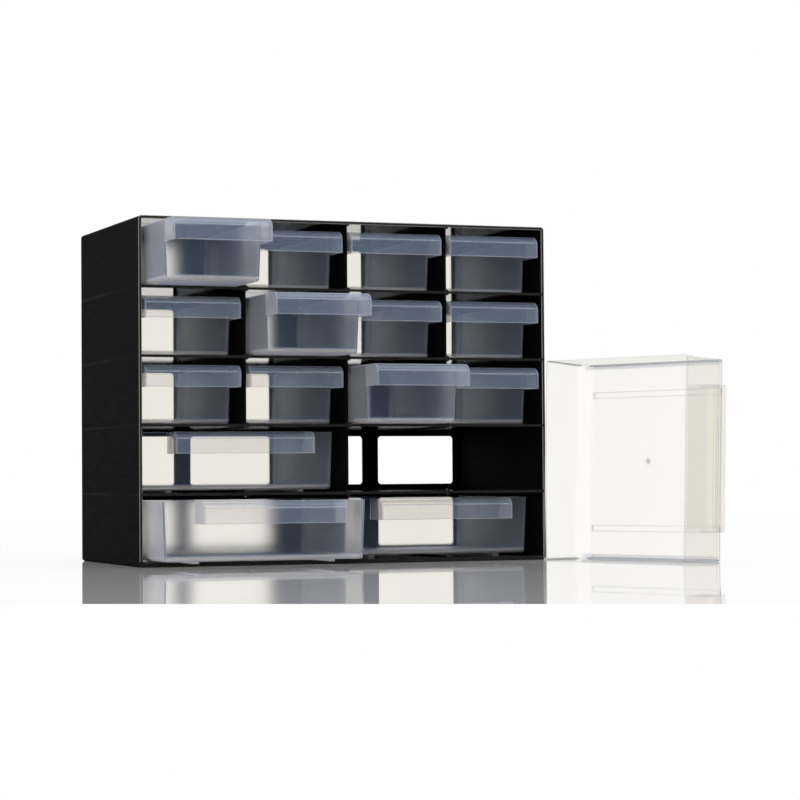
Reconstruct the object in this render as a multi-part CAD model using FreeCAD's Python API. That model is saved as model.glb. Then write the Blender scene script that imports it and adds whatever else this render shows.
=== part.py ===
import FreeCAD, Part
import math
import os

# Parts bin cabinet: a moulded housing with five tiers, slide-in dividers and sixteen pull-out drawers.
# Frame: x to the right, y from the front towards the back, z up from the face that the housing stands on.
# The origin is the middle of that face. The pieces are drawn with y = 0 at the plane of the open front,
# and move forward by half the depth when they are written.

# Housing sizes, in millimetres
housing_width = 300.0
housing_height = 238.0
housing_depth = 157.0
side_wall = 2.2
top_wall = 2.2
floor_wall = 3.0
outer_corner_radius = 2.5
inner_corner_radius = 0.8
front_chamfer = 0.5

# Shelves, dividers and the rails that hold the dividers
row_count = 5
wide_row_count = 2
column_count = 4
shelf_thickness = 1.8
shelf_let_in = 0.9
divider_thickness = 1.6
rail_radius = 2.1
rail_height = 1.2
nub_length = 2.6
panel_fit = 0.1

# Rear grid
grid_thickness = 2.0
grid_bar_width = 12.3
grid_bar_height = 10.5
window_corner_radius = 2.5

# Drawers
drawer_headroom = 3.3
drawer_wall = 1.3
drawer_side_clearance = 2.4
draft_angle = 2.0
corner_radius = 2.3
foot_bevel = 1.4
rear_bottom_radius = 9.0
running_gap = 0.3

# Finger lip along the rim of each drawer's front wall
lip_reach = 22.0
lip_ledge = 15.5
lip_curve_drop = 4.5
lip_drop = 15.0
lip_curve_share = 0.62
wide_lip_width = 99.5

# Skids under the wide drawers
skid_height = 1.5
skid_width = 4.0

# Places of the drawers at rest
closed_setback = 1.0
pulled_top_row = 70.0
pulled_second_row = 57.0
pulled_third_row = 50.0
pulled_wide = 65.0
loose_turn = 22.2
loose_clearance = 0.8

# Overrun of every cut past the face that it opens
overrun = 1.0

# Worked-out sizes
inner_width = housing_width - 2 * side_wall
column_width = (inner_width - (column_count - 1) * divider_thickness) / column_count
column_pitch = column_width + divider_thickness
clear_height = housing_height - top_wall - floor_wall
row_height = (clear_height - (row_count - 1) * shelf_thickness) / row_count
row_pitch = row_height + shelf_thickness
shelf_depth = housing_depth - grid_thickness
draft_slope = math.tan(math.radians(draft_angle))
small_width = column_width - 2 * drawer_side_clearance
wide_width = 2 * column_width + divider_thickness - 2 * drawer_side_clearance
closed_front = lip_reach + closed_setback
drawer_depth = shelf_depth - running_gap - closed_front
drawer_height = row_height - running_gap - skid_height - drawer_headroom


def box(x0, y0, z0, x1, y1, z1):
    """Upright block between two opposite corners."""
    corner = FreeCAD.Vector(x0, y0, z0)
    return Part.makeBox(x1 - x0, y1 - y0, z1 - z0, corner)


def row_floor(row):
    """Height of the surface that the drawers of a row slide on; row 1 is the top row."""
    return floor_wall + (row_count - row) * row_pitch


def boundary_x(index):
    """Middle of the divider place number index, counted from the left."""
    return -inner_width / 2 + index * column_pitch - divider_thickness / 2


def column_x(first, last):
    """Middle of the space from column first to column last."""
    return (boundary_x(first - 1) + boundary_x(last)) / 2


def rounded_rectangle(width, height, radius):
    """Closed wire in the x-z plane, centred on the origin, with four arc corners."""
    x = width / 2
    z = height / 2
    mid = radius * (1 - math.sqrt(0.5))
    edges = []
    for sx, sz, first_is_side in ((1, 1, True), (-1, 1, False), (-1, -1, True), (1, -1, False)):
        on_side = FreeCAD.Vector(sx * x, 0, sz * (z - radius))
        on_end = FreeCAD.Vector(sx * (x - radius), 0, sz * z)
        middle = FreeCAD.Vector(sx * (x - mid), 0, sz * (z - mid))
        start, end = (on_side, on_end) if first_is_side else (on_end, on_side)
        edges.append((start, middle, end))
    parts = []
    for index, (start, middle, end) in enumerate(edges):
        parts.append(Part.Arc(start, middle, end).toShape())
        parts.append(Part.LineSegment(end, edges[(index + 1) % 4][0]).toShape())
    return Part.Wire(parts)


def rounded_bar(width, height, radius, y0, y1, x=0.0, z=0.0):
    """Rounded rectangle of the x-z plane, drawn out from y0 to y1, centred at x and z."""
    face = Part.Face(rounded_rectangle(width, height, radius))
    face.translate(FreeCAD.Vector(x, y0, z))
    return face.extrude(FreeCAD.Vector(0, y1 - y0, 0))


def rail(x, z, up):
    """Half-round rail of one column boundary on the surface at z, with a blind groove for a divider.

    Its section is a circle's segment, rail_height high; the closed front end shows as a small nub.
    """
    sink = rail_radius - rail_height
    half_chord = math.sqrt(rail_radius ** 2 - sink ** 2)
    left = FreeCAD.Vector(x - half_chord, 0, z)
    right = FreeCAD.Vector(x + half_chord, 0, z)
    crown = FreeCAD.Vector(x, 0, z + up * rail_height)
    section = Part.Wire([Part.Arc(left, crown, right).toShape(), Part.LineSegment(right, left).toShape()])
    bar = Part.Face(section).extrude(FreeCAD.Vector(0, shelf_depth, 0))
    half_groove = divider_thickness / 2 + panel_fit
    low, high = sorted((z, z + up * (rail_height + overrun)))
    groove = box(x - half_groove, nub_length, low, x + half_groove, shelf_depth + overrun, high)
    return bar.cut(groove)


def rails(z, up):
    """The three rails on one surface."""
    return [rail(boundary_x(index), z, up) for index in range(1, column_count)]


def housing_shell():
    """Sleeve of four walls with rails on its ceiling and floor and grooves for the shelf ends."""
    middle = housing_height / 2
    outside = rounded_bar(housing_width, housing_height, outer_corner_radius, 0, housing_depth, 0, middle)
    bore_middle = floor_wall + clear_height / 2
    bore = rounded_bar(inner_width, clear_height, inner_corner_radius, -overrun, housing_depth + overrun, 0,
                       bore_middle)
    shell = outside.cut(bore)
    front = [edge for edge in shell.Edges if edge.BoundBox.YMax < front_chamfer]
    shell = shell.makeChamfer(front_chamfer, front)
    grooves = []
    for row in range(1, row_count):
        z = row_floor(row)
        for side in (-1, 1):
            near, far = sorted((side * inner_width / 2, side * (inner_width / 2 + shelf_let_in)))
            grooves.append(box(near, 0, z - shelf_thickness, far, shelf_depth, z))
    shell = shell.cut(grooves)
    return shell.fuse(rails(floor_wall, 1) + rails(housing_height - top_wall, -1)).removeSplitter()


def shelf(row):
    """Panel under a row, from side wall to side wall, with rails above and below."""
    z = row_floor(row)
    half = inner_width / 2 + shelf_let_in - panel_fit
    panel = box(-half, 0, z - shelf_thickness, half, shelf_depth, z)
    return panel.fuse(rails(z, 1) + rails(z - shelf_thickness, -1)).removeSplitter()


def rear_grid():
    """Flat lattice between the walls behind the shelves, with a rounded window for each column and row."""
    y0 = housing_depth - grid_thickness
    width = inner_width - 2 * panel_fit
    height = clear_height - 2 * panel_fit
    middle = floor_wall + clear_height / 2
    plate = rounded_bar(width, height, inner_corner_radius, y0, housing_depth, 0, middle)
    windows = []
    for row in range(1, row_count + 1):
        z = row_floor(row) + row_height / 2
        for column in range(1, column_count + 1):
            windows.append(rounded_bar(column_pitch - grid_bar_width, row_pitch - grid_bar_height,
                                       window_corner_radius, y0 - overrun, housing_depth + overrun,
                                       column_x(column, column), z))
    return plate.cut(windows)


def divider(row, index):
    """Upright panel in the rails of one column boundary of a row."""
    z = row_floor(row)
    x = boundary_x(index)
    half = divider_thickness / 2
    return box(x - half, nub_length + panel_fit, z + panel_fit, x + half, shelf_depth,
               z + row_height - panel_fit)


def side_view(lean, radius, z0, top):
    """Face in the y-z plane, with the foot's bevel at the front and the scoop's arc at the rear.

    Its front edge is ahead of the tray, and its rear edge is the leaning rear wall.
    """
    rear = drawer_depth - lean
    middle = radius * (1 - math.sqrt(0.5))
    a = FreeCAD.Vector(0, -overrun, top)
    b = FreeCAD.Vector(0, -overrun, z0 + lean + foot_bevel + overrun)
    c = FreeCAD.Vector(0, lean + foot_bevel, z0)
    d = FreeCAD.Vector(0, rear - radius, z0)
    turn = FreeCAD.Vector(0, rear - middle, z0 + middle)
    e = FreeCAD.Vector(0, rear + draft_slope * radius, z0 + radius)
    f = FreeCAD.Vector(0, rear + draft_slope * (top - z0), top)
    edges = [Part.LineSegment(a, b), Part.LineSegment(b, c), Part.LineSegment(c, d), Part.Arc(d, turn, e),
             Part.LineSegment(e, f), Part.LineSegment(f, a)]
    return Part.Face(Part.Wire([edge.toShape() for edge in edges]))


def front_view(half, z0, top):
    """Face in the x-z plane, with the foot's bevel at both sides; its upright edges are beside the tray."""
    near = half - foot_bevel
    far = half + draft_slope * (top - z0) + overrun
    rise = z0 + far - near
    corners = [(-far, top), (-far, rise), (-near, z0), (near, z0), (far, rise), (far, top), (-far, top)]
    return Part.Face(Part.makePolygon([FreeCAD.Vector(x, 0, z) for x, z in corners]))


def tray_form(width, inset, top, corners):
    """Tray-shaped solid, inset from the tray's outside: four drafted walls, a bevelled foot and a rear scoop.

    Its upright corners are rounded where corners is a radius and not zero.
    """
    lean = draft_slope * (drawer_height - inset) + inset
    rise = draft_slope * (top - inset)
    half = width / 2 - lean
    rear = drawer_depth - lean
    form = Part.makeWedge(-half, inset, lean, lean - rise, -half - rise, half, top, rear, rear + rise, half + rise)
    form.rotate(FreeCAD.Vector(), FreeCAD.Vector(1, 0, 0), 90)
    form.translate(FreeCAD.Vector(0, drawer_depth, 0))
    if corners:
        uprights = [edge for edge in form.Edges if edge.BoundBox.ZLength > drawer_height / 2]
        form = form.makeFillet(corners, uprights)
    side = side_view(lean, rear_bottom_radius - inset, inset, top)
    side.translate(FreeCAD.Vector(-width, 0, 0))
    front = front_view(half, inset, top)
    front.translate(FreeCAD.Vector(0, -overrun, 0))
    form = form.common(side.extrude(FreeCAD.Vector(2 * width, 0, 0)))
    return form.common(front.extrude(FreeCAD.Vector(0, drawer_depth + 2 * overrun, 0)))


def lip_section(inset):
    """Face in the y-z plane of the lip: ledge, curved shoulder and upright face, open underneath."""
    top = drawer_height - inset
    out = -lip_reach + inset
    ledge_end = -lip_ledge
    shoulder = top - lip_curve_drop
    bottom = drawer_height - lip_drop - (overrun if inset else 0)
    root = drawer_wall
    a = FreeCAD.Vector(0, root, top)
    b = FreeCAD.Vector(0, ledge_end, top)
    c = FreeCAD.Vector(0, ledge_end + lip_curve_share * (out - ledge_end),
                       top - (1 - lip_curve_share) * lip_curve_drop)
    d = FreeCAD.Vector(0, out, shoulder)
    e = FreeCAD.Vector(0, out, bottom)
    f = FreeCAD.Vector(0, root, bottom)
    edges = [Part.LineSegment(a, b), Part.Arc(b, c, d), Part.LineSegment(d, e), Part.LineSegment(e, f),
             Part.LineSegment(f, a)]
    return Part.Face(Part.Wire([edge.toShape() for edge in edges]))


def lip(width):
    """Hooked finger lip with closed ends, along the rim of the front wall."""
    outside = lip_section(0)
    outside.translate(FreeCAD.Vector(-width / 2, 0, 0))
    outside = outside.extrude(FreeCAD.Vector(width, 0, 0))
    inside_width = width - 2 * drawer_wall
    inside = lip_section(drawer_wall)
    inside.translate(FreeCAD.Vector(-inside_width / 2, 0, 0))
    return outside.cut(inside.extrude(FreeCAD.Vector(inside_width, 0, 0)))


def skids():
    """Two bars under a wide drawer, in line with the ends of its lip."""
    y0 = draft_slope * drawer_height + corner_radius
    y1 = drawer_depth - draft_slope * drawer_height - rear_bottom_radius
    outer = wide_lip_width / 2
    bars = []
    for side in (-1, 1):
        near, far = sorted((side * outer, side * (outer - skid_width)))
        bars.append(box(near, y0, -skid_height, far, y1, drawer_wall / 2))
    return bars


def drawer(width, lip_width, on_skids):
    """Open tray with a finger lip; its rim's front is at y = 0 and its underside at z = 0."""
    cavity = tray_form(width, drawer_wall, drawer_height + overrun, 0)
    body = tray_form(width, 0, drawer_height, corner_radius).cut(cavity)
    extra = [lip(lip_width).cut(cavity)]
    if on_skids:
        extra += skids()
    return body.fuse(extra).removeSplitter()


def loose_place(tray):
    """Lay a wide drawer flat on its left side wall and turn it, just clear of the housing's front corner.

    Its mouth's rear end stays clear of the drawers behind it, and its rear wall of the housing.
    """
    turn = math.radians(loose_turn)
    rear_x = inner_width / 2 - drawer_side_clearance + loose_clearance
    rear_y = -(housing_width / 2 - rear_x) * math.tan(turn) - loose_clearance
    x = rear_x + drawer_depth * math.sin(turn)
    y = rear_y - drawer_depth * math.cos(turn)
    tray.translate(FreeCAD.Vector(wide_width / 2, 0, -drawer_height))
    tray.rotate(FreeCAD.Vector(), FreeCAD.Vector(0, 1, 0), draft_angle - 90)
    tray.rotate(FreeCAD.Vector(), FreeCAD.Vector(0, 0, 1), loose_turn)
    tray.translate(FreeCAD.Vector(x, y, 0))
    return tray


def placed(tray, x, row, lift, pull):
    """Copy of a tray in the slot centred at x, pulled out by a distance from its closed place."""
    tray = tray.copy()
    tray.translate(FreeCAD.Vector(x, closed_front - pull, row_floor(row) + lift))
    return tray


def small_row(row, tray):
    """Dividers and small drawers of one row, by node name."""
    pulled = {(1, 1): pulled_top_row, (2, 2): pulled_second_row, (3, 3): pulled_third_row}
    pieces = {}
    for index in range(1, column_count):
        pieces[f"divider_row{row}_{index}"] = divider(row, index)
    for column in range(1, column_count + 1):
        pull = pulled.get((row, column), 0)
        x = column_x(column, column)
        pieces[f"small_drawer_row{row}_col{column}"] = placed(tray, x, row, running_gap, pull)
    return pieces


def wide_rows(tray):
    """Middle dividers and wide drawers of the lower rows, by node name, with one drawer beside the cabinet."""
    middle = column_count // 2
    left = column_x(1, middle)
    right = column_x(middle + 1, column_count)
    lift = running_gap + skid_height
    upper = row_count - 1
    pieces = {}
    for row in range(row_count - wide_row_count + 1, row_count + 1):
        pieces[f"divider_row{row}_{middle}"] = divider(row, middle)
    pieces[f"wide_drawer_row{upper}_left"] = placed(tray, left, upper, lift, 0)
    pieces[f"wide_drawer_row{row_count}_left"] = placed(tray, left, row_count, lift, pulled_wide)
    pieces[f"wide_drawer_row{row_count}_right"] = placed(tray, right, row_count, lift, 0)
    pieces["wide_drawer_loose"] = loose_place(tray.copy())
    return pieces


def build():
    """All the pieces by node name, each in its place."""
    pieces = {"housing_shell": housing_shell(), "rear_grid": rear_grid()}
    for row in range(1, row_count):
        pieces[f"shelf_{row}"] = shelf(row)
    small = drawer(small_width, small_width, False)
    for row in range(1, row_count - wide_row_count + 1):
        pieces.update(small_row(row, small))
    pieces.update(wide_rows(drawer(wide_width, wide_lip_width, True)))
    return pieces


os.makedirs("parts", exist_ok=True)
for name, shape in build().items():
    shape.translate(FreeCAD.Vector(0, -housing_depth / 2, 0))
    shape.exportStep(os.path.join("parts", name + ".step"))
    print(name, shape.isValid(), len(shape.Solids), round(shape.Volume, 1))
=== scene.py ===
import math
import bpy
import numpy as np
from mathutils import Euler, Matrix, Vector


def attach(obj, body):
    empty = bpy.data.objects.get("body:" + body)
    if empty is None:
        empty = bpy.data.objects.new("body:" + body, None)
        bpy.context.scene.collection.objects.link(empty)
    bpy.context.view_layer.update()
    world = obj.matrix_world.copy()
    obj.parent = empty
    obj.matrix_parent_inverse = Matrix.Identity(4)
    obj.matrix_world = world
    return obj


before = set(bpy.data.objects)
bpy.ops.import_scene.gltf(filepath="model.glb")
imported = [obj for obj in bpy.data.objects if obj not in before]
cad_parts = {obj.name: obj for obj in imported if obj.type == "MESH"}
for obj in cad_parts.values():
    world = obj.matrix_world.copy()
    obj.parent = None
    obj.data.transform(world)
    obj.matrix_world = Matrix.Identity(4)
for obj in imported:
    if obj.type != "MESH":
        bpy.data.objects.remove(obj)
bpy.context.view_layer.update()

MM = 0.001

# Sizes of the cabinet that the finishes follow, in metres
HALF_DEPTH = 78.5 * MM
SIDE_FACE = 150.0 * MM
UNDERSIDE = 0.0 * MM
ROOF = 238.0 * MM
FLOOR_TOP = 3.0 * MM
ROW_PITCH = 46.92 * MM
HALF_SHELF = 0.9 * MM
SHELF_LEVELS = [FLOOR_TOP + n * ROW_PITCH - HALF_SHELF for n in range(1, 5)]

# Sizes of a tray, in metres, from the front of its rim and down from its top
LIP_REACH = 22.0 * MM
LIP_LEDGE = 15.5 * MM
LIP_SHOULDER = 4.5 * MM
LIP_DROP = 15.0 * MM
TRAY_HEIGHT = 40.02 * MM
TRAY_DEPTH = 131.7 * MM
SKID_WIDTH = 4.0 * MM
SKID_FRONT = 3.7 * MM
SKID_REAR = 121.3 * MM
GATE_PLACE = 68.6 * MM
SMALL_LIP_HALF = 33.95 * MM
WIDE_LIP_HALF = 49.75 * MM
# The floor plate's top above its underside, and how far the scoop reaches ahead of the rear wall
PLATE_TOP = 1.6 * MM
SCOOP_REACH = 11.0 * MM

# Draft of a tray's walls, and how far the tray outside is turned from the cabinet, in degrees
DRAFT = 2.0
LOOSE_YAW = 22.2
HOUSED_TURN = Euler((0.0, 0.0, 0.0))
LOOSE_TURN = Euler((0.0, math.radians(DRAFT - 90.0), math.radians(LOOSE_YAW)))

# Milk of one surface of a tray: the share of the light that it scatters
WALL_MILK_LOW = 0.037
WALL_MILK_HIGH = 0.046
LIP_MILK = 0.083
FROST_MILK = 0.25
REAR_MILK = 0.015
EDGE_ON_MILK = 0.55
MOST_MILK = 0.9

# Milk of the places where the plastic is thick; on the lip's lines it is partly a painted highlight
RIM_MILK = 0.22
CORNER_MILK = 0.14
FOOT_MILK = 0.45
LIP_LINE_AND_HIGHLIGHT_MILK = 0.24
SKID_MILK = 0.3
# Share of that milk which is left in the tray given the least milk
FAINTEST = 0.4

# Share of the milk that a tray has, and frost on its side walls; the tray outside, of the same plastic, is
# given less milk and no frost, which paints it lighter where it stands in the open light
HOUSED_MILK = 1.0
HOUSED_FROST = 0.75
LOOSE_MILK = 0.22
LOOSE_FROST = 0.0

# Settings of nodes that come up often; the two colours of a Mix node are its sockets i6 and i7
COLOURS = {"data_type": "RGBA"}
SMOOTH = {"interpolation_type": "SMOOTHSTEP"}
SIZE = {"operation": "ABSOLUTE"}
TIMES_PLUS = {"operation": "MULTIPLY_ADD"}

# Steps of arithmetic for chain(): a node's kind and its settings
SUM = ("ShaderNodeMath", {"operation": "ADD"})
DIFFERENCE = ("ShaderNodeMath", {"operation": "SUBTRACT"})
PRODUCT = ("ShaderNodeMath", {"operation": "MULTIPLY"})
QUOTIENT = ("ShaderNodeMath", {"operation": "DIVIDE"})
LARGEST = ("ShaderNodeMath", {"operation": "MAXIMUM"})
SMALLEST = ("ShaderNodeMath", {"operation": "MINIMUM"})
ABOVE = ("ShaderNodeMath", {"operation": "GREATER_THAN"})
BELOW = ("ShaderNodeMath", {"operation": "LESS_THAN"})


def linear(code):
    """sRGB hex colour to linear red, green, blue and a full alpha."""
    channels = [int(code[i:i + 2], 16) / 255 for i in (1, 3, 5)]
    return [c / 12.92 if c <= 0.04045 else ((c + 0.055) / 1.055) ** 2.4 for c in channels] + [1.0]


def add(tree, kind, settings=None, **inputs):
    """Adds a node with its settings, and sets or links its inputs.

    An input is named as its socket, with _ for a space, or i0, i1 and so on by its place.
    """
    node = tree.nodes.new(kind)
    for key, value in (settings or {}).items():
        setattr(node, key, value)
    for key, value in inputs.items():
        place = key[1:]
        socket = node.inputs[int(place)] if place.isdigit() else node.inputs[key.replace("_", " ")]
        if isinstance(value, bpy.types.NodeSocket):
            tree.links.new(value, socket)
        else:
            socket.default_value = value
    return node


def chain(tree, step, *values):
    """Socket of one step carried over all the values, from the first one to the last."""
    total = values[0]
    for value in values[1:]:
        total = add(tree, *step, i0=total, i1=value).outputs[0]
    return total


def near(tree, value, centre, half, soft):
    """Socket that is 1 within half of the centre and falls smoothly to 0 over soft."""
    away = add(tree, "ShaderNodeMath", SIZE, i0=chain(tree, DIFFERENCE, value, centre)).outputs[0]
    return add(tree, "ShaderNodeMapRange", SMOOTH, Value=away, From_Min=half, From_Max=half + soft,
               To_Min=1.0, To_Max=0.0).outputs[0]


def new_material(name):
    """Empty node material and its tree."""
    material = bpy.data.materials.new(name)
    material.use_nodes = True
    material.node_tree.nodes.clear()
    return material, material.node_tree


def black_polystyrene(name):
    """Injection-moulded high-impact polystyrene, black, with a matt grain.

    Dark all through, with a faint broad sheen, flow clouds, and shallow sink lines outside where the shelf
    ends meet the side walls. Level faces inside the housing are smooth, and mirror the rear windows at low
    angles.
    """
    material, tree = new_material(name)
    place = add(tree, "ShaderNodeTexCoord").outputs["Object"]
    x, y, z = add(tree, "ShaderNodeSeparateXYZ", i0=place).outputs
    normal = add(tree, "ShaderNodeNewGeometry").outputs["Normal"]
    facing = add(tree, "ShaderNodeSeparateXYZ", i0=normal).outputs
    # Grain of about 0.4 mm is drawn at 0.9 mm so that it shows
    grain = add(tree, "ShaderNodeTexNoise", i0=place, Scale=1 / (0.9 * MM), Detail=2.0,
                Roughness=0.6).outputs[0]
    # Flow clouds about 45 mm across
    cloud = add(tree, "ShaderNodeTexNoise", i0=place, Scale=1 / (45 * MM), Detail=3.0,
                Roughness=0.55).outputs[0]
    # Fine rubs from handling, about 2 mm apart and drawn out in depth
    along = add(tree, "ShaderNodeMapping", i0=place, Scale=(1.0, 0.08, 1.0)).outputs[0]
    rub = add(tree, "ShaderNodeTexNoise", i0=along, Scale=1 / (2.0 * MM), Detail=4.0,
              Roughness=0.7).outputs[0]

    # Sink lines on the outside, level with the shelves and fading towards the front
    outside = add(tree, "ShaderNodeMath", SIZE, i0=x).outputs[0]
    outside = chain(tree, ABOVE, outside, SIDE_FACE - 0.4 * MM)
    rows = chain(tree, SUM, *[near(tree, z, level, half=0.3 * MM, soft=1.1 * MM) for level in SHELF_LEVELS])
    fade = add(tree, "ShaderNodeMapRange", SMOOTH, Value=y, From_Min=-30 * MM, From_Max=20 * MM,
               To_Min=0.25, To_Max=1.0).outputs[0]
    sink_and_sheen = chain(tree, PRODUCT, outside, rows, fade)

    # Clouded black, with painted sheen in the sink lines and a painted highlight on the front faces
    shade = add(tree, "ShaderNodeMix", COLOURS, Factor=cloud, i6=linear("#080809"),
                i7=linear("#0d0d0e")).outputs[2]
    # The sink lines are painted greyer, as sheen on their dips; the dips themselves are bumps
    shade = add(tree, "ShaderNodeMix", COLOURS, Factor=sink_and_sheen, i6=shade, i7=linear("#1e1e1f")).outputs[2]
    # The front faces are painted greyer, as a highlight of the light that they catch
    front_face_highlight = near(tree, y, -HALF_DEPTH, half=0.25 * MM, soft=0.5 * MM)
    shade = add(tree, "ShaderNodeMix", COLOURS, Factor=front_face_highlight, i6=shade, i7=linear("#242423")).outputs[2]
    # The chamfer round the front, which faces half forwards, gets a painted glint, but none along the foot
    painted_light_factor = chain(tree, PRODUCT, near(tree, facing["Y"], -0.7, half=0.15, soft=0.1),
                   near(tree, y, -HALF_DEPTH, half=0.6 * MM, soft=0.1 * MM),
                   chain(tree, ABOVE, z, 4.0 * MM))
    shade = add(tree, "ShaderNodeMix", COLOURS, Factor=painted_light_factor, i6=shade, i7=linear("#7c7a76")).outputs[2]

    # Level faces are smooth, apart from the top of the roof and the underside
    level = add(tree, "ShaderNodeMath", SIZE, i0=facing["Z"]).outputs[0]
    smooth = chain(tree, PRODUCT, chain(tree, ABOVE, level, 0.9),
                   chain(tree, ABOVE, z, UNDERSIDE + 1.0 * MM),
                   chain(tree, BELOW, z, ROOF - 1.0 * MM))
    polish = add(tree, "ShaderNodeMapRange", Value=rub, From_Min=0.3, From_Max=0.7,
                 To_Min=0.05, To_Max=0.09).outputs[0]
    matt = add(tree, "ShaderNodeMapRange", Value=rub, From_Min=0.3, From_Max=0.7,
               To_Min=0.58, To_Max=0.68).outputs[0]
    # The sink lines are four times as deep as the grain is high
    height = chain(tree, SUM, grain, chain(tree, PRODUCT, sink_and_sheen, -4.0))
    bump = add(tree, "ShaderNodeBump", Strength=0.25, Distance=0.03 * MM, Height=height).outputs[0]
    polished = add(tree, "ShaderNodeBsdfPrincipled", Base_Color=shade, Roughness=polish, IOR=1.7).outputs[0]
    grained = add(tree, "ShaderNodeBsdfPrincipled", Base_Color=shade, Roughness=matt, IOR=1.59,
                  Specular_IOR_Level=0.008, Normal=bump).outputs[0]
    surface = add(tree, "ShaderNodeMixShader", i0=smooth, i1=grained, i2=polished).outputs[0]
    add(tree, "ShaderNodeOutputMaterial", Surface=surface)
    return material


def skid_outline(tree, across, y, plate):
    """Socket that draws the outlines of the two skids, which show through the floor of a wide tray."""
    centre = WIDE_LIP_HALF - SKID_WIDTH / 2
    middle = (SKID_FRONT + SKID_REAR) / 2
    half_length = SKID_REAR - middle
    outer = chain(tree, PRODUCT, near(tree, across, centre, half=SKID_WIDTH / 2 + 0.2 * MM, soft=0.1 * MM),
                  near(tree, y, middle, half=half_length, soft=0.1 * MM))
    inner = chain(tree, PRODUCT, near(tree, across, centre, half=SKID_WIDTH / 2 - 0.2 * MM, soft=0.1 * MM),
                  near(tree, y, middle, half=half_length - 0.5 * MM, soft=0.1 * MM))
    return chain(tree, PRODUCT, chain(tree, DIFFERENCE, outer, inner), plate, SKID_MILK)


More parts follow.
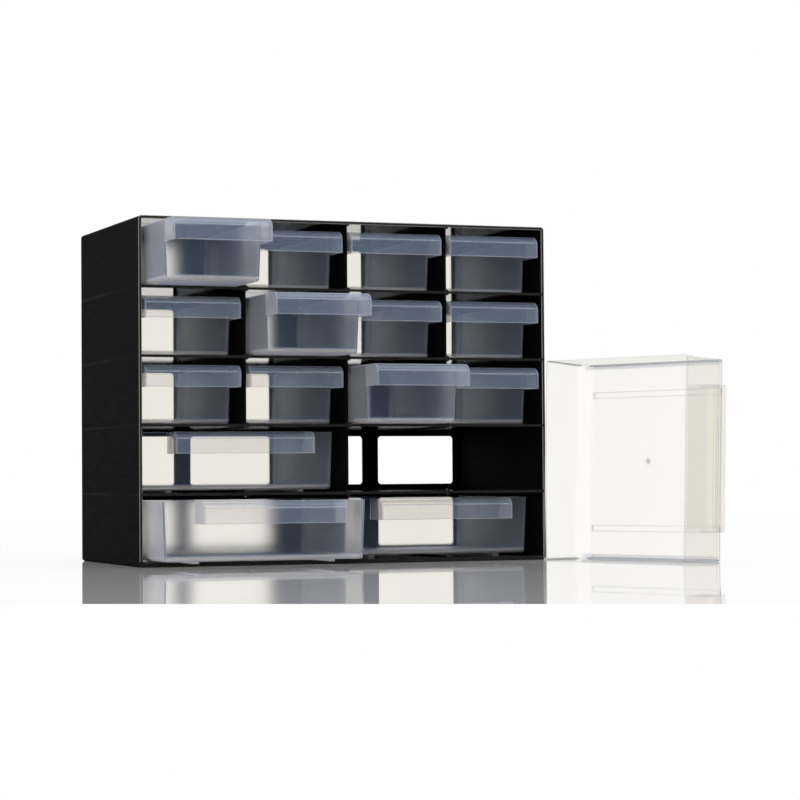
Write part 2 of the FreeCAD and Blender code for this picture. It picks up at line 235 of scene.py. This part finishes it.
def natural_polypropylene(name, origin, turn, half_width, lip_half, milk_share, frost_share):
    """Injection-moulded natural polypropylene homopolymer, frosted, one copy for each tray's place.

    Thin walls pass a warm, slightly milky light and scatter a cold blue one back. The eye sees more milk
    where it looks along a wall, in the lip, and at the cut edges, which gather light. Fine matt grain, long
    flow clouds.
    """
    material, tree = new_material(name)
    spot = add(tree, "ShaderNodeTexCoord").outputs["Object"]
    place = add(tree, "ShaderNodeMapping", {"vector_type": "TEXTURE"}, i0=spot, Location=origin,
                Rotation=turn).outputs[0]
    x, y, z = add(tree, "ShaderNodeSeparateXYZ", i0=place).outputs
    across = add(tree, "ShaderNodeMath", SIZE, i0=x).outputs[0]
    slant = add(tree, "ShaderNodeLayerWeight", Blend=0.5).outputs["Facing"]
    # Flow clouds about 30 mm across
    cloud = add(tree, "ShaderNodeTexNoise", i0=place, Scale=1 / (30 * MM), Detail=3.0,
                Roughness=0.5).outputs[0]
    # Grain of about 0.2 mm is drawn at 0.7 mm so that it shows
    grain = add(tree, "ShaderNodeTexNoise", i0=place, Scale=1 / (0.7 * MM), Detail=2.0,
                Roughness=0.6).outputs[0]

    # The lip, ahead of the front wall, and its lines: both ends, foot, crease and ledge, whose extra milk is
    # partly a painted highlight
    in_lip = chain(tree, BELOW, y, -0.2 * MM)
    ends = near(tree, across, lip_half, half=0.9 * MM, soft=0.8 * MM)
    foot = near(tree, z, -LIP_DROP, half=0.3 * MM, soft=0.4 * MM)
    crease = near(tree, z, -LIP_SHOULDER, half=0.25 * MM, soft=0.4 * MM)
    ledge = chain(tree, PRODUCT, near(tree, y, -LIP_LEDGE, half=0.2 * MM, soft=0.8 * MM),
                  near(tree, z, 0.0, half=0.5 * MM, soft=0.3 * MM))
    lip_lines_and_highlights = chain(tree, PRODUCT, in_lip, chain(tree, LARGEST, ends, foot, crease, ledge))

    # How far a point lies outside the side wall's outer face, which leans with the draft
    lean = add(tree, "ShaderNodeMath", TIMES_PLUS, i0=z, i1=math.tan(math.radians(DRAFT)),
               i2=half_width).outputs[0]
    at_side = chain(tree, DIFFERENCE, across, lean)

    # Thick places: rim, upright corners, the band at the foot of the walls, and the lip's lines, which also
    # carry a painted highlight
    rim = near(tree, z, 0.0, half=0.3 * MM, soft=0.5 * MM)
    corner = chain(tree, PRODUCT, near(tree, at_side, -1.2 * MM, half=0.5 * MM, soft=0.9 * MM),
                   near(tree, y, 1.6 * MM, half=1.2 * MM, soft=1.4 * MM))
    walls = chain(tree, LARGEST, near(tree, at_side, 0.0, half=3.0 * MM, soft=1.0 * MM),
                  near(tree, y, 1.0 * MM, half=2.0 * MM, soft=1.0 * MM))
    band = chain(tree, PRODUCT, near(tree, z, -TRAY_HEIGHT, half=2.2 * MM, soft=2.2 * MM), walls)
    shares = ((rim, RIM_MILK), (corner, CORNER_MILK), (band, FOOT_MILK), (lip_lines_and_highlights, LIP_LINE_AND_HIGHLIGHT_MILK))
    thick = chain(tree, LARGEST, *[chain(tree, PRODUCT, line, share) for line, share in shares])
    # A tray given less milk, as the tray outside is to paint it lighter, has fainter edges too
    thick = chain(tree, PRODUCT, thick, FAINTEST + (1 - FAINTEST) * milk_share)
    plate = chain(tree, BELOW, z, PLATE_TOP - TRAY_HEIGHT)
    if lip_half == WIDE_LIP_HALF:
        thick = chain(tree, LARGEST, thick, skid_outline(tree, across, y, plate))

    # Frost on walls that are seen at a slant: stronger towards the front and weaker in depth, which paints
    # light on the front of the walls and shade deeper in; none on the lip
    frost = add(tree, "ShaderNodeMapRange", SMOOTH, Value=slant, From_Min=0.42, From_Max=0.68,
                To_Min=0.0, To_Max=frost_share).outputs[0]
    painted_light_factor = add(tree, "ShaderNodeMapRange", Value=y, From_Min=0.0, From_Max=90 * MM,
                 To_Min=1.35, To_Max=0.35).outputs[0]
    frost = chain(tree, PRODUCT, frost, painted_light_factor, chain(tree, DIFFERENCE, 1.0, in_lip))
    rear = near(tree, y, TRAY_DEPTH, half=SCOOP_REACH, soft=3.0 * MM)

    # Milk: clouded, more in the lip, and more along the wall, where the way through the plastic is longer
    base = add(tree, "ShaderNodeMapRange", Value=cloud, From_Min=0.3, From_Max=0.7,
               To_Min=WALL_MILK_LOW, To_Max=WALL_MILK_HIGH).outputs[0]
    base = chain(tree, SUM, base, chain(tree, PRODUCT, in_lip, LIP_MILK))
    straight = add(tree, "ShaderNodeMath", TIMES_PLUS, i0=slant, i1=-0.6, i2=1.0).outputs[0]
    # The floor is seen nearly edge on
    edge_on = add(tree, "ShaderNodeMapRange", SMOOTH, Value=slant, From_Min=0.85, From_Max=0.97,
                  To_Min=0.0, To_Max=EDGE_ON_MILK).outputs[0]
    milk = chain(tree, SUM, chain(tree, QUOTIENT, base, straight), chain(tree, PRODUCT, frost, FROST_MILK),
                 chain(tree, PRODUCT, rear, REAR_MILK), chain(tree, PRODUCT, edge_on, plate))
    milk = chain(tree, SUM, chain(tree, PRODUCT, milk, milk_share), thick)
    milk = chain(tree, SMALLEST, milk, MOST_MILK)

    # Short ways through the plastic look blue, long ones neutral
    long_way = chain(tree, LARGEST, chain(tree, PRODUCT, frost, 0.85), chain(tree, PRODUCT, thick, 2.5),
                     chain(tree, PRODUCT, rear, 0.4))
    tint = add(tree, "ShaderNodeMix", COLOURS, Factor=in_lip, i6=linear("#a3bef4"),
               i7=linear("#afc6ea")).outputs[2]
    tint = add(tree, "ShaderNodeMix", COLOURS, Factor=long_way, i6=tint, i7=linear("#c4c3c8")).outputs[2]

    # Blur: the floor, scoop and rear wall are frosted as well, which shows where they aren't seen edge on
    steep = add(tree, "ShaderNodeMapRange", SMOOTH, Value=slant, From_Min=0.75, From_Max=0.92,
                To_Min=1.0, To_Max=0.0).outputs[0]
    blur = chain(tree, PRODUCT, chain(tree, LARGEST, rear, plate), steep, 0.92)
    blur = chain(tree, SMALLEST, chain(tree, LARGEST, frost, blur), 1.0)
    # The upright corners and the rim are as clear as the front wall
    upright = chain(tree, PRODUCT, near(tree, at_side, -1.1 * MM, half=1.4 * MM, soft=0.2 * MM),
                    near(tree, y, 1.1 * MM, half=1.4 * MM, soft=0.2 * MM))
    blur = chain(tree, PRODUCT, blur, chain(tree, DIFFERENCE, 1.0, upright),
                 chain(tree, DIFFERENCE, 1.0, rim))

    bump = add(tree, "ShaderNodeBump", Strength=0.2, Distance=0.02 * MM, Height=grain).outputs[0]
    warm = add(tree, "ShaderNodeMix", COLOURS, Factor=in_lip, i6=linear("#fffefa"),
               i7=linear("#fffcf8")).outputs[2]
    passed = add(tree, "ShaderNodeBsdfTransparent", Color=warm).outputs[0]
    blurred = add(tree, "ShaderNodeBsdfRefraction", Color=linear("#fffefc"), Roughness=0.56,
                  IOR=1.2).outputs[0]
    carried = add(tree, "ShaderNodeMixShader", i0=blur, i1=passed, i2=blurred).outputs[0]
    back = add(tree, "ShaderNodeBsdfPrincipled", Base_Color=tint, Roughness=0.5, IOR=1.49,
               Specular_IOR_Level=0.0, Normal=bump).outputs[0]
    through = add(tree, "ShaderNodeBsdfTranslucent", Color=linear("#f3ece0"), Normal=bump).outputs[0]
    scatter = add(tree, "ShaderNodeMixShader", i0=0.2, i1=back, i2=through).outputs[0]
    body = add(tree, "ShaderNodeMixShader", i0=milk, i1=carried, i2=scatter).outputs[0]
    shine = add(tree, "ShaderNodeFresnel", IOR=1.3, Normal=bump).outputs[0]
    weight = chain(tree, SUM, chain(tree, PRODUCT, plate, 0.4), 0.2)
    weight = chain(tree, PRODUCT, shine, weight)
    gloss = add(tree, "ShaderNodeBsdfAnisotropic", Color=linear("#eef2f8"), Roughness=0.45,
                Normal=bump).outputs[0]
    surface = add(tree, "ShaderNodeMixShader", i0=weight, i1=body, i2=gloss).outputs[0]
    add(tree, "ShaderNodeOutputMaterial", Surface=surface)
    return material


def tray_frame(node, turn):
    """Origin of a tray (middle of its rim's front, at the top) and half its width, from its own vertices."""
    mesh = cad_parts[node].data
    points = np.empty(len(mesh.vertices) * 3)
    mesh.vertices.foreach_get("co", points)
    spin = np.array(turn.to_matrix())
    local = points.reshape(-1, 3) @ spin
    low, high = local.min(axis=0), local.max(axis=0)
    origin = spin @ np.array([(low[0] + high[0]) / 2, low[1] + LIP_REACH, high[2]])
    return origin, (high[0] - low[0]) / 2


def dress(node, material):
    """Gives every slot of a CAD node one material."""
    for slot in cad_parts[node].material_slots:
        slot.material = material


housing_finish = black_polystyrene("black_polystyrene_moulded")
trays = {}
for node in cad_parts:
    if "_drawer_" in node:
        loose = node.endswith("loose")
        turn = LOOSE_TURN if loose else HOUSED_TURN
        origin, half_width = tray_frame(node, turn)
        trays[node] = (origin, turn)
        lip_half = WIDE_LIP_HALF if node.startswith("wide") else SMALL_LIP_HALF
        milk_share, frost_share = (LOOSE_MILK, LOOSE_FROST) if loose else (HOUSED_MILK, HOUSED_FROST)
        finish = natural_polypropylene("natural_polypropylene_" + node, origin, turn, half_width, lip_half,
                                       milk_share, frost_share)
    else:
        finish = housing_finish
    dress(node, finish)

# Gate marks: where the plastic entered the mould, under the middle of each wide tray
GATE_RADIUS = 3.2 * MM
GATE_RINGS = 14
GATE_STEPS = 32
GATE_LENS = 0.12 * MM
GATE_NUB = 0.3 * MM
GATE_NUB_NARROWNESS = 4
GATE_DEPTH = 0.2 * MM


def gate_mark(node, origin, turn, finish):
    """Small closed lens with a nub, under the floor of a wide tray.

    A ring at share u of the radius R and angle v is u R (cos v, sin v) across. Below, it hangs by
    0.12 mm (1 - u^2) + 0.3 mm exp(-(4 u)^2). Above, it stands 0.2 mm (1 - u^2) in the plate.
    """
    u = np.linspace(0.0, 1.0, GATE_RINGS + 1)[1:]
    v = np.linspace(0.0, 2 * math.pi, GATE_STEPS, endpoint=False)
    across = np.stack([np.outer(u, np.cos(v)), np.outer(u, np.sin(v))], axis=-1)
    across = GATE_RADIUS * across.reshape(-1, 2)
    share = np.repeat(u, GATE_STEPS)
    below = -(GATE_LENS * (1 - share ** 2) + GATE_NUB * np.exp(-(GATE_NUB_NARROWNESS * share) ** 2))
    above = GATE_DEPTH * (1 - share ** 2)
    inner = (GATE_RINGS - 1) * GATE_STEPS
    centre = np.array([0.0, GATE_PLACE, -TRAY_HEIGHT])
    poles = [[0.0, 0.0, -(GATE_LENS + GATE_NUB)], [0.0, 0.0, GATE_DEPTH]]
    lower = np.column_stack([across, below])
    upper = np.column_stack([across[:inner], above[:inner]])
    local = np.concatenate([lower, upper, poles]) + centre
    press = np.concatenate([1 - share, 1 - share[:inner], [1.0, 1.0]])
    points = origin + local @ np.array(turn.to_matrix()).T
    # The upper half ends on the lower half's outermost ring
    low_rings = np.arange(GATE_RINGS * GATE_STEPS).reshape(GATE_RINGS, GATE_STEPS)
    high_rings = np.concatenate([low_rings[:-1] + GATE_RINGS * GATE_STEPS, low_rings[-1:]])
    faces = []
    for rings, order, pole in ((low_rings, 1, len(points) - 2), (high_rings, -1, len(points) - 1)):
        beside = np.roll(rings, -1, axis=1)
        quads = np.stack([rings[:-1], beside[:-1], beside[1:], rings[1:]], axis=-1).reshape(-1, 4)
        fan = np.stack([np.full(GATE_STEPS, pole), beside[0], rings[0]], axis=-1)
        faces += quads[:, ::order].tolist() + fan[:, ::order].tolist()
    mesh = bpy.data.meshes.new(node + "_gate_mark")
    mesh.from_pydata(points.tolist(), [], faces)
    mesh.attributes.new("press", "FLOAT", "POINT").data.foreach_set("value", press)
    mesh.shade_smooth()
    mesh.materials.append(finish)
    piece = bpy.data.objects.new(node + "_gate_mark", mesh)
    bpy.context.scene.collection.objects.link(piece)
    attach(piece, node)


def pressed_polypropylene():
    """Polypropylene torn off at the gate: greyed and rough at the nub, clear at the rim of the dimple."""
    material, tree = new_material("natural_polypropylene_gate_mark")
    place = add(tree, "ShaderNodeTexCoord").outputs["Object"]
    press = add(tree, "ShaderNodeAttribute", {"attribute_name": "press"}).outputs["Fac"]
    # Stress lines about 1 mm apart
    streak = add(tree, "ShaderNodeTexNoise", i0=place, Scale=1 / (1.0 * MM), Detail=3.0,
                 Roughness=0.6).outputs[0]
    cover = add(tree, "ShaderNodeMapRange", SMOOTH, Value=press, From_Min=0.15, From_Max=0.9,
                To_Min=0.06, To_Max=0.38).outputs[0]
    cover = chain(tree, PRODUCT, cover, chain(tree, SUM, chain(tree, PRODUCT, streak, 0.8), 0.5))
    shade = add(tree, "ShaderNodeMix", COLOURS, Factor=press, i6=linear("#c9c8c4"),
                i7=linear("#7d7d79")).outputs[2]
    bump = add(tree, "ShaderNodeBump", Strength=0.4, Distance=0.05 * MM, Height=streak).outputs[0]
    torn = add(tree, "ShaderNodeBsdfPrincipled", Base_Color=shade, Roughness=0.6, IOR=1.49,
               Normal=bump).outputs[0]
    clear = add(tree, "ShaderNodeBsdfTransparent", Color=linear("#fffefc")).outputs[0]
    surface = add(tree, "ShaderNodeMixShader", i0=cover, i1=clear, i2=torn).outputs[0]
    add(tree, "ShaderNodeOutputMaterial", Surface=surface)
    return material


gate_finish = pressed_polypropylene()
for node, (origin, turn) in trays.items():
    if node.startswith("wide"):
        gate_mark(node, origin, turn, gate_finish)

# Floor: white acrylic sheet, polished under the cabinet, with plain white in front of its edge
SHEET_HALF = 6.0
SHEET_POINTS = 13
# The polished part's edge: its direction across, and how far it lies from the origin, in metres
EDGE_X = 0.4882
EDGE_Y = 0.8727
EDGE_REACH = -0.6108
WHITE = linear("#ffffff")
BLACK = linear("#000000")


def floor_sheet():
    """Flat square grid at z = 0: x and y are the two parameters."""
    u = np.linspace(-SHEET_HALF, SHEET_HALF, SHEET_POINTS)
    x, y = np.meshgrid(u, u, indexing="ij")
    points = np.stack([x, y, np.zeros_like(x)], axis=-1).reshape(-1, 3)
    index = np.arange(SHEET_POINTS ** 2).reshape(SHEET_POINTS, SHEET_POINTS)
    quads = np.stack([index[:-1, :-1], index[1:, :-1], index[1:, 1:], index[:-1, 1:]], axis=-1)
    mesh = bpy.data.meshes.new("floor")
    mesh.from_pydata(points.tolist(), [], quads.reshape(-1, 4).tolist())
    sheet = bpy.data.objects.new("floor", mesh)
    bpy.context.scene.collection.objects.link(sheet)
    return sheet


def white_acrylic():
    """Cast acrylic sheet, white and polished: mirrors what stands on it at a low angle."""
    material, tree = new_material("white_acrylic_polished")
    place = add(tree, "ShaderNodeTexCoord").outputs["Object"]
    where = add(tree, "ShaderNodeSeparateXYZ", i0=place).outputs
    ray = add(tree, "ShaderNodeLightPath").outputs
    white = add(tree, "ShaderNodeEmission", Color=WHITE, Strength=1.0).outputs[0]
    # A little of the surroundings' white keeps the sheet as pale as the backdrop
    polished = add(tree, "ShaderNodeBsdfPrincipled", Base_Color=linear("#c8c8c9"), Roughness=0.015,
                   IOR=1.5).outputs[0]
    none = add(tree, "ShaderNodeEmission", Color=BLACK, Strength=0.0).outputs[0]
    lift = add(tree, "ShaderNodeEmission", Color=WHITE, Strength=0.05).outputs[0]
    lift = add(tree, "ShaderNodeMixShader", i0=ray["Is Camera Ray"], i1=none, i2=lift).outputs[0]
    sheet = add(tree, "ShaderNodeAddShader", i0=polished, i1=lift).outputs[0]
    # The polished part ends on a line in front of the cabinet
    reach = chain(tree, SUM, chain(tree, PRODUCT, where["X"], EDGE_X),
                  chain(tree, PRODUCT, where["Y"], EDGE_Y))
    behind = chain(tree, ABOVE, reach, EDGE_REACH)
    plain = add(tree, "ShaderNodeBsdfDiffuse", Color=linear("#f0f0f0")).outputs[0]
    plain = add(tree, "ShaderNodeMixShader", i0=ray["Is Camera Ray"], i1=plain, i2=white).outputs[0]
    surface = add(tree, "ShaderNodeMixShader", i0=behind, i1=plain, i2=sheet).outputs[0]
    # Plastic that blurs what lies behind shows the white surroundings below, too
    surface = add(tree, "ShaderNodeMixShader", i0=ray["Is Transmission Ray"], i1=surface,
                  i2=white).outputs[0]
    add(tree, "ShaderNodeOutputMaterial", Surface=surface)
    return material


floor = floor_sheet()
floor.data.materials.append(white_acrylic())

# Plain white surroundings; the light that they give is softer, more so from the camera's side
world = bpy.data.worlds.new("studio")
bpy.context.scene.world = world
world.use_nodes = True
tree = world.node_tree
tree.nodes.clear()
ray = add(tree, "ShaderNodeLightPath").outputs
toward = add(tree, "ShaderNodeTexCoord").outputs["Generated"]
back = add(tree, "ShaderNodeSeparateXYZ", i0=toward).outputs["Y"]
mirrored = add(tree, "ShaderNodeMapRange", SMOOTH, Value=back, From_Min=-0.4, From_Max=0.3,
               To_Min=0.3, To_Max=1.0).outputs[0]
mirrored = chain(tree, PRODUCT, ray["Is Glossy Ray"], mirrored)
seen = chain(tree, LARGEST, ray["Is Camera Ray"], ray["Is Transmission Ray"], mirrored)
glow = add(tree, "ShaderNodeMapRange", SMOOTH, Value=back, From_Min=-0.3, From_Max=0.5,
           To_Min=0.42, To_Max=1.0).outputs[0]
soft = add(tree, "ShaderNodeBackground", Color=linear("#f4f6fa"), Strength=glow).outputs[0]
plain = add(tree, "ShaderNodeBackground", Color=WHITE, Strength=1.0).outputs[0]
sky = add(tree, "ShaderNodeMixShader", i0=seen, i1=soft, i2=plain).outputs[0]
add(tree, "ShaderNodeOutputWorld", Surface=sky)


def softbox(name, place, target, size, power):
    """Large soft lamp at a place, turned to a target."""
    data = bpy.data.lights.new(name, "AREA")
    data.shape = "RECTANGLE"
    data.size, data.size_y = size
    data.energy = power
    lamp = bpy.data.objects.new(name, data)
    lamp.location = place
    lamp.rotation_euler = (Vector(target) - Vector(place)).to_track_quat("-Z", "Y").to_euler()
    # The polished sheet doesn't mirror the lamps
    lamp.visible_glossy = False
    bpy.context.scene.collection.objects.link(lamp)


softbox("key", place=(-0.9, -1.5, 0.75), target=(0.0, 0.0, 0.1), size=(1.6, 1.1), power=11.5)
softbox("fill", place=(1.0, -1.5, 0.6), target=(0.1, 0.0, 0.1), size=(1.4, 1.0), power=4.5)
softbox("top", place=(0.0, -0.5, 1.5), target=(0.0, 0.0, 0.1), size=(1.5, 1.0), power=10.0)

# Camera at the photograph's angle: low in front of the left corner, with a long lens
CAMERA_PLACE = (-0.6102, -1.7466, 0.0624)
SENSOR = 36.0
FOCAL_PIXELS = 2557.8
PICTURE_PIXELS = 800
yaw = math.radians(21.25)
pitch = math.radians(1.64)
roll = math.radians(-0.41)
forward = Vector((math.sin(yaw) * math.cos(pitch), math.cos(yaw) * math.cos(pitch), math.sin(pitch)))
level = Vector((math.cos(yaw), -math.sin(yaw), 0.0))
upright = level.cross(forward)
right = math.cos(roll) * level + math.sin(roll) * upright
up = math.cos(roll) * upright - math.sin(roll) * level
data = bpy.data.cameras.new("camera")
data.sensor_width = SENSOR
data.lens = SENSOR * FOCAL_PIXELS / PICTURE_PIXELS
camera = bpy.data.objects.new("camera", data)
turned = Matrix((right, up, -forward)).transposed().to_4x4()
camera.matrix_world = Matrix.Translation(CAMERA_PLACE) @ turned
bpy.context.scene.collection.objects.link(camera)
bpy.context.scene.camera = camera

bpy.context.scene.view_settings.view_transform = "Standard"
# A line of sight passes many thin walls
bpy.context.scene.cycles.transparent_max_bounces = 24
